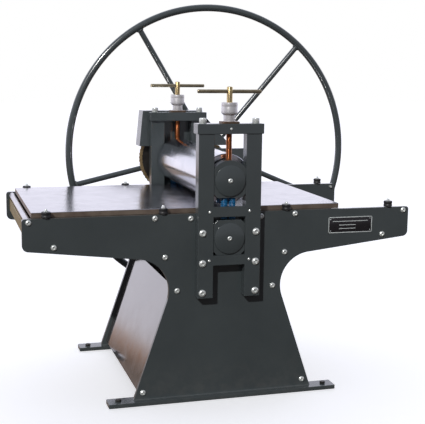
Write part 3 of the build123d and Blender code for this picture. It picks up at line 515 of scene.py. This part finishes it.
def jack_screw(side):
    """Copper-coloured thread below and plain yellow stem above, with its cross bar and dial sleeve."""
    screw, bar, dial = f"{side}_jack_screw", f"{side}_tee_bar", f"{side}_dial_sleeve"
    low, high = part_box(screw)
    at = Vector((0, (low.y + high.y) / 2, 0))
    radius = (high.x - low.x) / 2
    barrel_top = solids_of("dial_barrels")[0][1].z
    thread_top = barrel_top - 0.030      # below the barrel's mouth, out of sight
    bm = bmesh.new()
    threaded(bm, at, low.z, thread_top, radius, pitch=0.005, depth=0.0022)
    piece(f"{side}_screw_thread", bm, [COPPER], screw, [screw], sharp=60)
    stem = radius - 0.001
    bm = bmesh.new()
    profile = [(0, thread_top), (stem, thread_top), (stem, high.z - 0.004), (stem - 0.001, high.z - 0.0022),
               (stem - 0.0032, high.z - 0.0004), (stem - 0.0045, high.z), (0, high.z)]
    turn(bm, profile, at, steps=64)
    piece(f"{side}_screw_stem", bm, [FINISHES["brass_screw"]], screw, [screw])

    low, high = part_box(bar)
    middle, r, half = (low + high) / 2, (high.z - low.z) / 2, (high.x - low.x) / 2
    end = [(0, 0), (r * 0.55, 0.0), (r * 0.8, 0.0008), (r * 0.95, 0.0022), (r, 0.0042)]
    profile = [(a, b - half) for a, b in end] + [(a, half - b) for a, b in reversed(end)]
    bm = bmesh.new()
    turn(bm, profile, middle, X, steps=40)
    piece(f"{side}_tee_bar_finished", bm, [CROSS_BAR], bar, [bar])

    low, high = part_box(dial)
    outer, bore, stem_r = (high.x - low.x) / 2, 0.0271, stem + 0.0001
    taper, mark_sink = 0.008, 0.00005
    knurl_low, knurl_high = high.z - 0.016, high.z - 0.004
    profile = [
        (bore, low.z), (outer - taper, low.z), (outer, low.z + taper), (outer, knurl_low - 0.002),
        (outer - 0.0003, knurl_low - 0.001), (outer, knurl_low, 0.004), (outer, knurl_high, 0.004),
        (outer - 0.0003, knurl_high + 0.001), (outer, knurl_high + 0.0015), (outer - 0.0015, high.z),
        (stem_r, high.z), (stem_r, high.z - 0.012), (bore, high.z - 0.0122),
    ]
    bm = bmesh.new()
    turn(bm, profile, at, steps=160, closed=True)
    marks = 50
    for mark in range(marks):
        angle = 2 * pi * mark / marks
        reach = 0.010 if mark % 5 == 0 else 0.0065
        on_face = outer - mark_sink
        centre = at + Vector((cos(angle) * on_face, sin(angle) * on_face, low.z + taper + reach / 2))
        start = len(bm.verts)
        block(bm, (-0.0002, -0.00035, -reach / 2), (0.0002, 0.00035, reach / 2), index=1)
        bm.verts.ensure_lookup_table()
        spin = Matrix.Translation(centre) @ Matrix.Rotation(angle, 4, "Z")
        for vert in bm.verts[start:]:
            vert.co = spin @ vert.co
    piece(f"{side}_dial_sleeve_finished", bm, [FINISHES["satin_steel"], INK], dial, [dial])


# --- Springs and chain -------------------------------------------------------------------

def tube_along(bm, points, radius, sides=12):
    """A round tube through the points, closed at both ends."""
    rings = []
    for n, point in enumerate(points):
        ahead = points[min(n + 1, len(points) - 1)] - points[max(n - 1, 0)]
        matrix = frame_on(ahead.normalized(), point)
        if rings:
            across = last - ahead * (last.dot(ahead) / ahead.length_squared)
        else:
            across = matrix.to_3x3() @ X
        across.normalize()
        up = ahead.normalized().cross(across)
        last = across
        angles = [2 * pi * s / sides for s in range(sides)]
        rings.append([bm.verts.new(point + radius * (cos(a) * across + sin(a) * up)) for a in angles])
    for first, second in zip(rings, rings[1:]):
        for s in range(sides):
            after = (s + 1) % sides
            bm.faces.new((first[s], first[after], second[after], second[s]))
    bm.faces.new(rings[0])
    bm.faces.new(rings[-1])


def lift_springs():
    """Coil springs with closed end turns between the bearing blocks."""
    wire, turns, closed, steps_per_turn = 0.0030, 13.0, 1.1, 28
    rise_per_closed_turn = 2 * wire * 1.02
    bm = bmesh.new()
    boxes = solids_of("lift_springs")
    for low, high in boxes:
        middle, radius = (low + high) / 2, (high.x - low.x) / 2 - wire
        bottom, top = low.z + wire, high.z - wire
        points = []
        for step in range(int(turns * steps_per_turn) + 1):
            turned = step / steps_per_turn
            grip = min(turned, closed) * rise_per_closed_turn
            release = min(turns - turned, closed) * rise_per_closed_turn
            open_share = min(1.0, max(0.0, (turned - closed) / (turns - 2 * closed)))
            ends = closed * rise_per_closed_turn
            z = bottom + grip + open_share * (top - bottom - 2 * ends) + (ends - release)
            angle = 2 * pi * turned
            points.append(Vector((middle.x + radius * cos(angle), middle.y + radius * sin(angle), z)))
        tube_along(bm, points, wire)
    spring = piece("lift_springs_finished", bm, [FINISHES["spring_blue"]], "lift_springs", ["lift_springs"],
                   sharp=60, body="none")
    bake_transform(spring)


PITCH = 0.01905
BIG_TEETH, SMALL_TEETH = 60, 12
BIG_WRAP, SMALL_WRAP, STRAIGHT = 42, 4, 10


def chain_points():
    """The chain's pin centres, in order round the loop, in X and Z."""
    start, end = JOINT_AT["top_roller_turn"], JOINT_AT["wheel_turn"]
    big_r, small_r = PITCH / (2 * sin(pi / BIG_TEETH)), PITCH / (2 * sin(pi / SMALL_TEETH))
    centres = sqrt((end.x - start.x) ** 2 + (end.z - start.z) ** 2)
    lean = atan2(end.z - start.z, end.x - start.x)
    big = [radians(180 + 360 * s / BIG_TEETH) for s in range(-BIG_WRAP // 2, BIG_WRAP // 2 + 1)]
    small = [radians(360 * s / SMALL_TEETH) for s in range(-SMALL_WRAP // 2, SMALL_WRAP // 2 + 1)]
    first = [(big_r * cos(a), big_r * sin(a)) for a in big]
    second = [(centres + small_r * cos(a), small_r * sin(a)) for a in small]

    def run(a, b):
        return [(a[0] + (b[0] - a[0]) * s / STRAIGHT, a[1] + (b[1] - a[1]) * s / STRAIGHT)
                for s in range(1, STRAIGHT)]

    loop = first + run(first[-1], second[0]) + second + run(second[-1], first[0])
    return [Vector((start.x + x * cos(lean) - z * sin(lean), 0, start.z + x * sin(lean) + z * cos(lean)))
            for x, z in loop]


def link_plate(bm, a, b, low, high, radius, waist):
    """A waisted link plate between two pins, from low to high along Y."""
    along = (b - a).normalized()
    up = Vector((-along.z, 0, along.x))
    middle = (a + b) / 2
    outline = []
    for centre, turn_from in ((b, -80), (a, 100)):
        angles = [radians(turn_from + 20 * i) for i in range(9)]
        outline += [centre + radius * (cos(a) * along + sin(a) * up) for a in angles]
        outline.append(middle + up * (waist if turn_from < 0 else -waist))
    rings = [[bm.verts.new(Vector((p.x, y, p.z))) for p in outline] for y in (low, high)]
    count = len(outline)
    for n in range(count):
        after = (n + 1) % count
        bm.faces.new((rings[0][n], rings[0][after], rings[1][after], rings[1][n]))
    for ring in rings:
        bm.faces.new(ring)


def drive_chain():
    """A roller chain: inner and outer plates in turn, rollers and riveted pins."""
    low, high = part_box("drive_chain")
    y, half = (low.y + high.y) / 2, (high.y - low.y) / 2
    points = chain_points()
    inner, plate = 0.0062, 0.0012
    link_r, waist, pin_r = 0.0083, 0.0058, 0.0030
    roller_bore, roller_r, edge = 0.0038, 0.0059, 0.0004
    bm = bmesh.new()
    for n, point in enumerate(points):
        after = points[(n + 1) % len(points)]
        offset = inner if n % 2 else inner + plate
        for side in SIDES:
            first, second = sorted((y + side * offset, y + side * (offset + plate * 0.92)))
            link_plate(bm, point, after, first, second, link_r, waist)
        at = Vector((point.x, y, point.z))
        turn(bm, [(roller_bore, -inner), (roller_r, -inner), (roller_r, inner), (roller_bore, inner)],
             at, Y, steps=16, closed=True)
        turn(bm, [(0, -half), (pin_r * 0.8, -half), (pin_r, edge - half), (pin_r, half - edge),
                  (pin_r * 0.8, half), (0, half)], at, Y, steps=12)
    chain = piece("drive_chain_finished", bm, [FINISHES["chain_brass"]], "drive_chain", ["drive_chain"], body="none")
    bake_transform(chain)


# --- Hand wheel --------------------------------------------------------------------------

def bead(bm, at, axis, radius, size, steps=72, seed=0.0):
    """A rippled weld bead round a bar."""
    matrix = frame_on(axis, at)
    rings = []
    for step in range(steps):
        angle = 2 * pi * step / steps
        swell = size * (1 + 0.16 * sin(step * 2.4) + 0.12 * noise.noise(Vector((step * 0.4, seed, 0))))
        ring = []
        for part in range(8):
            turn_by = 2 * pi * part / 8
            r = radius + swell * 0.8 * cos(turn_by)
            ring.append(bm.verts.new(matrix @ Vector((r * cos(angle), r * sin(angle), swell * sin(turn_by)))))
        rings.append(ring)
    for n, ring in enumerate(rings):
        after = rings[(n + 1) % steps]
        for part in range(8):
            follow = (part + 1) % 8
            bm.faces.new((ring[part], after[part], after[follow], ring[follow]))


def hand_wheel():
    """Rim tube, spokes with weld beads, hub with a set screw, and the shaft."""
    low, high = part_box("wheel_rim")
    centre, tube = (low + high) / 2, (high.y - low.y) / 2
    ring_r = (high.x - low.x) / 2 - tube
    profile = [(ring_r + tube * cos(2 * pi * i / 32), tube * sin(2 * pi * i / 32)) for i in range(32)]
    bm = bmesh.new()
    turn(bm, profile, centre, Y, steps=320, closed=True)
    seam_at = radians(17)
    seam = centre + ring_r * Vector((cos(seam_at), 0, sin(seam_at)))
    bead(bm, seam, Vector((-sin(seam_at), 0, cos(seam_at))), tube + 0.0002, 0.0012)
    piece("wheel_rim_finished", bm, [FINISHES["slate_paint"]], "wheel_rim", ["wheel_rim"])

    hub_low, hub_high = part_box("wheel_hub")
    hub_r, hub_half = (hub_high.x - hub_low.x) / 2, (hub_high.y - hub_low.y) / 2
    bm, beads = bmesh.new(), bmesh.new()
    spoke_r, sunk, bead_size = 0.015, 0.004, 0.0042
    for number, (spoke_low, spoke_high) in enumerate(solids_of("wheel_spokes")):
        way = (spoke_low + spoke_high) / 2 - centre
        way.y = 0
        way.normalize()
        start, end = hub_r - sunk, ring_r - tube + sunk
        turn(bm, [(0, start), (spoke_r, start), (spoke_r, (start + end) / 2), (spoke_r, end), (0, end)],
             centre, way, steps=40)
        bead(beads, centre + way * (ring_r - tube - 0.001), way, spoke_r + 0.001, bead_size, seed=number)
        bead(beads, centre + way * (hub_r + 0.001), way, spoke_r + 0.001, bead_size, seed=number + 9)
    piece("wheel_spokes_finished", bm, [FINISHES["slate_paint"]], "wheel_spokes", ["wheel_spokes"])
    piece("wheel_weld_beads", beads, [WELD], "wheel_spokes")

    shaft_low, shaft_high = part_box("wheel_shaft")
    shaft_r = (shaft_high.x - shaft_low.x) / 2
    edge = 0.004
    bm = bmesh.new()
    turn(bm, [(shaft_r, -hub_half), (hub_r - edge, -hub_half), (hub_r - edge * 0.3, -hub_half + edge * 0.3),
              (hub_r, -hub_half + edge), (hub_r, hub_half - edge), (hub_r - edge * 0.3, hub_half - edge * 0.3),
              (hub_r - edge, hub_half), (shaft_r, hub_half)], centre, Y, steps=96, closed=True)
    screw_r, base = 0.0055, hub_r - 0.0005
    turn(bm, [(0, hub_r - sunk), (screw_r, hub_r - sunk), (screw_r, base), (0.005, base + 0.001),
              (0.003, base + 0.001), (0.003, base + 0.0002), (0, base + 0.0002)], centre, Z, steps=24)
    piece("wheel_hub_finished", bm, [FINISHES["slate_paint"]], "wheel_hub", ["wheel_hub"])
    bm = bmesh.new()
    turn(bm, [(0, shaft_low.y + 0.001), (0.004, shaft_low.y), (shaft_r - 0.0015, shaft_low.y),
              (shaft_r, shaft_low.y + 0.0015), (shaft_r, shaft_high.y - 0.0015), (shaft_r - 0.0015, shaft_high.y),
              (0.005, shaft_high.y), (0.002, shaft_high.y - 0.003), (0, shaft_high.y - 0.004)],
         Vector((centre.x, 0, centre.z)), Y, steps=64)
    piece("wheel_shaft_finished", bm, [FINISHES["bearing_steel"]], "wheel_shaft", ["wheel_shaft"])


# --- Trim --------------------------------------------------------------------------------

def nameplate():
    """A blank data plate: bright raised border, black field, empty ruled boxes and four rivets."""
    low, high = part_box("nameplate")
    back, face = high.y, low.y
    border, step = 0.004, 0.0006
    bm = bmesh.new()
    block(bm, (low.x, face + step, low.z), (high.x, back, high.z), 0.0003, index=1)
    for a, b in (((low.x, high.z - border), (high.x, high.z)), ((low.x, low.z), (high.x, low.z + border)),
                 ((low.x, low.z), (low.x + border, high.z)), ((high.x - border, low.z), (high.x, high.z))):
        block(bm, (a[0], face, a[1]), (b[0], back, b[1]), 0.0004)
    wide, tall = high.x - low.x, high.z - low.z
    for left, right, level in ((0.10, 0.90, 0.70), (0.24, 0.62, 0.47), (0.24, 0.62, 0.25)):
        block(bm, (low.x + wide * left, face + step * 0.5, low.z + tall * level),
              (low.x + wide * right, back, low.z + tall * level + 0.0032), 0.0002)
    for side_x in (low.x + 0.011, high.x - 0.011):
        for side_z in (low.z + 0.011, high.z - 0.011):
            turn(bm, [(0.0026, 0), (0.0024, 0.0006), (0.0014, 0.0012), (0, 0.0014)],
                 Vector((side_x, face + step, side_z)), (0, -1, 0), steps=20)
    piece("nameplate_finished", bm, [BRIGHT_RIM, FINISHES["plate_black"]], "nameplate", ["nameplate"])


def weld_line(bm, start, end, size, seed):
    """A rippled fillet weld along a straight corner."""
    along = end - start
    count = int(along.length / 0.0035)
    points = [start + along * n / count for n in range(count + 1)]
    rings = []
    for n, point in enumerate(points):
        swell = size * (0.9 + 0.18 * abs(sin(n * 1.05)) + 0.2 * noise.noise(Vector((n * 0.21, seed, 1.3))))
        if n in (0, count):
            swell *= 0.4
        rings.append([bm.verts.new(point + swell * Vector((0, cos(2 * pi * s / 8), sin(2 * pi * s / 8))))
                      for s in range(8)])
    for first, second in zip(rings, rings[1:]):
        for s in range(8):
            after = (s + 1) % 8
            bm.faces.new((first[s], first[after], second[after], second[s]))
    bm.faces.new(rings[0])
    bm.faces.new(rings[-1])


def foot_welds():
    """Weld beads where the side plates stand on the foot bars."""
    bm = bmesh.new()
    bar_height, half, size = 0.019, 0.424, 0.0042
    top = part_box("foot_bars")[0].z + bar_height
    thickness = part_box("near_side_plate")[1].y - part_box("near_side_plate")[0].y
    for side in SIDES:
        for n, y in enumerate((PLATE_FACE, PLATE_FACE - thickness)):
            weld_line(bm, Vector((-half, side * y, top)), Vector((half, side * y, top)), size, side * 3 + n)
    piece("foot_welds", bm, [WELD], "foot_bars")


def dial_barrels():
    """The fixed barrels, with a ring groove at the foot and a scale up the front."""
    bm = bmesh.new()
    for low, high in solids_of("dial_barrels"):
        middle, radius = (low + high) / 2, (high.x - low.x) / 2
        at = Vector((middle.x, middle.y, 0))
        bore = 0.0143
        profile = [(bore, low.z), (radius, low.z), (radius, low.z + 0.004), (radius - 0.001, low.z + 0.005),
                   (radius - 0.001, low.z + 0.0065), (radius, low.z + 0.0075), (radius, high.z - 0.001),
                   (radius - 0.001, high.z), (bore, high.z)]
        turn(bm, profile, at, steps=96, closed=True)
        front = middle.y - radius
        block(bm, (-0.0002, front - 0.0001, low.z + 0.010), (0.0002, front + 0.0006, high.z - 0.006), index=1)
        for mark in range(9):
            z = low.z + 0.010 + 0.0025 * mark
            wide = 0.0045 if mark % 4 == 0 else 0.003
            block(bm, (0, front + 0.0001, z - 0.0002), (wide, front + 0.0008, z + 0.0002), index=1)
    piece("dial_barrels_finished", bm, [FINISHES["satin_steel"], INK], "dial_barrels", ["dial_barrels"])


def end_discs():
    """The keeper discs on the journals, with their centre bolts."""
    for node in ("top_end_disc", "bottom_end_disc"):
        low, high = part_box(node)
        centre = Vector(((low.x + high.x) / 2, 0, (low.z + high.z) / 2))
        radius = (high.x - low.x) / 2
        back, rear_face, front = 0.4900, 0.4906, 0.4976      # distances from the middle, along Y
        bolt_r, bolt_height = 0.011, 0.006
        bm = bmesh.new()
        turn(bm, [(0, back), (JOURNAL_R, back), (JOURNAL_R, rear_face), (radius - 0.001, rear_face),
                  (radius, rear_face + 0.001), (radius, front - 0.0018), (radius - 0.0006, front - 0.0006),
                  (radius - 0.0018, front), (0.0125, front), (0.012, front - 0.0006), (0, front - 0.0006)],
             centre, (0, -1, 0), steps=128)
        piece(node + "_finished", bm, [FINISHES["slate_paint"]], node, [node])
        bm = bmesh.new()
        turn(bm, head_profile(bolt_r, bolt_height), centre - Y * (front - 0.0004), (0, -1, 0), steps=36)
        head = piece(node + "_bolt", bm, [FINISHES["bright_fasteners"]], node)


# --- Building ----------------------------------------------------------------------------

for name in ("near_side_plate", "far_side_plate", "foot_bars", "near_uprights", "far_uprights", "keeper_bars",
             "lower_crossbars", "upright_caps", "lower_blocks", "upper_blocks", "wheel_bracket", "wheel_housing",
             "left_base_panel", "right_base_panel", "end_channel", "screw_bushes", "chain_guard"):
    refined(name)
for name in ("roller_sprocket", "wheel_sprocket"):
    refined(name, bevel=0.0005)
for name in ("upper_bearings", "lower_bearings"):
    refined(name, bevel=0.0008)
for name, height in BUTTON_HEADS.items():
    button_bolts(name, height)
cap_screws()
hexagon_bolts()
guide_pins()
for side in ("near", "far"):
    for number in range(1, 5):
        guide_roller(f"{side}_guide_roller_{number}")
    jack_screw(side)
for name in BODY_OF:
    if name.startswith("idler_roller"):
        round_bar(name, bore_share=0.45, chamfer=0.001, steps=72)
round_bar("tie_rods", bore_share=0.4)
press_roller("top_roller", TOP_ROLLER_HALF)
press_roller("bottom_roller", BOTTOM_ROLLER_HALF)
bed()
dial_barrels()
end_discs()
lift_springs()
drive_chain()
hand_wheel()
nameplate()
foot_welds()


# --- Floor, light and camera -------------------------------------------------------------

def floor():
    """A plain pale floor under the press."""
    bm = bmesh.new()
    size = 30
    corners = ((-1, -1), (1, -1), (1, 1), (-1, 1))
    bm.faces.new([bm.verts.new((x * size, y * size, -0.0005)) for x, y in corners])
    mesh = bpy.data.meshes.new("floor")
    bm.to_mesh(mesh)
    bm.free()
    f = Finish("pale_floor")
    f.set(Roughness=0.9, Emission_Color=(1, 1, 1, 1), Emission_Strength=0.58)
    f.link(f.mix(f.spread(f.noise(1.2, 5), 0.3, 0.7), (0.93, 0.93, 0.93), (0.91, 0.91, 0.912)),
           f.shader.inputs["Base Color"])
    mesh.materials.append(f.material)
    ground = bpy.data.objects.new("floor", mesh)
    bpy.context.scene.collection.objects.link(ground)
    ground.visible_glossy = False
    ground.visible_diffuse = False
    return ground


def sky():
    """White for the camera; a soft bright sky over a brown ground for light and reflections."""
    world = bpy.data.worlds.new("studio")
    bpy.context.scene.world = world
    world.use_nodes = True
    tree = world.node_tree
    tree.nodes.clear()
    add, link = tree.nodes.new, tree.links.new
    way = add("ShaderNodeTexCoord")
    split = add("ShaderNodeSeparateXYZ")
    link(way.outputs["Generated"], split.inputs[0])
    height = add("ShaderNodeMapRange")
    height.inputs["From Min"].default_value = -1
    link(split.outputs["Z"], height.inputs["Value"])
    ramp = add("ShaderNodeValToRGB")
    link(height.outputs["Result"], ramp.inputs["Fac"])
    stops = (
        (0.0, (0.12, 0.10, 0.09)), (0.405, (0.26, 0.21, 0.19)), (0.424, (0.28, 0.225, 0.20)),
        (0.431, (0.12, 0.095, 0.085)), (0.435, (0.26, 0.17, 0.125)), (0.4385, (0.52, 0.30, 0.21)),
        (0.4425, (0.64, 0.47, 0.40)), (0.446, (0.95, 0.92, 1.02)), (0.5, (1.0, 0.98, 1.09)),
        (0.62, (0.95, 0.95, 1.08)), (1.0, (0.62, 0.66, 0.80)),
    )
    while len(ramp.color_ramp.elements) < len(stops):
        ramp.color_ramp.elements.new(0.5)
    for element, (position, colour) in zip(ramp.color_ramp.elements, stops):
        element.position = position
        element.color = (*colour, 1)
    depth = add("ShaderNodeMapRange")
    depth.interpolation_type = "SMOOTHSTEP"
    for key, value in (("From Min", -0.5), ("From Max", 0.5), ("To Min", 0.26), ("To Max", 1.15)):
        depth.inputs[key].default_value = value
    link(split.outputs["Y"], depth.inputs["Value"])
    seen = add("ShaderNodeBackground")
    seen.inputs["Color"].default_value = (1, 1, 1, 1)
    lit = add("ShaderNodeBackground")
    link(ramp.outputs["Color"], lit.inputs["Color"])
    link(depth.outputs["Result"], lit.inputs["Strength"])
    path = add("ShaderNodeLightPath")
    both = add("ShaderNodeMixShader")
    link(path.outputs["Is Camera Ray"], both.inputs[0])
    link(lit.outputs[0], both.inputs[1])
    link(seen.outputs[0], both.inputs[2])
    link(both.outputs[0], add("ShaderNodeOutputWorld").inputs["Surface"])


def key_light(ground):
    """A soft key from the upper left, in front. The floor stays out of it, so it shows no hard shadow."""
    data = bpy.data.lights.new("key", "SUN")
    data.energy = 3.0
    data.angle = radians(1.2)
    data.color = (1.0, 0.985, 0.96)
    light = bpy.data.objects.new("key", data)
    bpy.context.scene.collection.objects.link(light)
    light.rotation_euler = Vector((0.50, 0.65, -0.57)).to_track_quat("-Z", "Y").to_euler()
    left_out = bpy.data.collections.new("out_of_the_key")
    left_out.objects.link(ground)
    light.light_linking.receiver_collection = left_out
    left_out.collection_objects[0].light_linking.link_state = "EXCLUDE"


def camera():
    """A long lens at eye height, in front of the left end."""
    yaw, pitch, roll = radians(16.455), radians(-9.045), radians(0.7)
    ahead = Vector((sin(yaw) * cos(pitch), cos(yaw) * cos(pitch), sin(pitch)))
    level = Vector((cos(yaw), -sin(yaw), 0))
    upright = level.cross(ahead)
    right = cos(roll) * level + sin(roll) * upright
    up = cos(roll) * upright - sin(roll) * level
    data = bpy.data.cameras.new("camera")
    data.lens = 79.74
    data.sensor_width = 36
    data.clip_end = 100
    view = bpy.data.objects.new("camera", data)
    bpy.context.scene.collection.objects.link(view)
    place = Matrix.Translation((-1.2456, -4.438, 1.5317))
    view.matrix_world = place @ Matrix((right, up, -ahead)).transposed().to_4x4()
    bpy.context.scene.camera = view


ground = floor()
sky()
key_light(ground)
camera()
bpy.context.scene.view_settings.view_transform = "Standard"
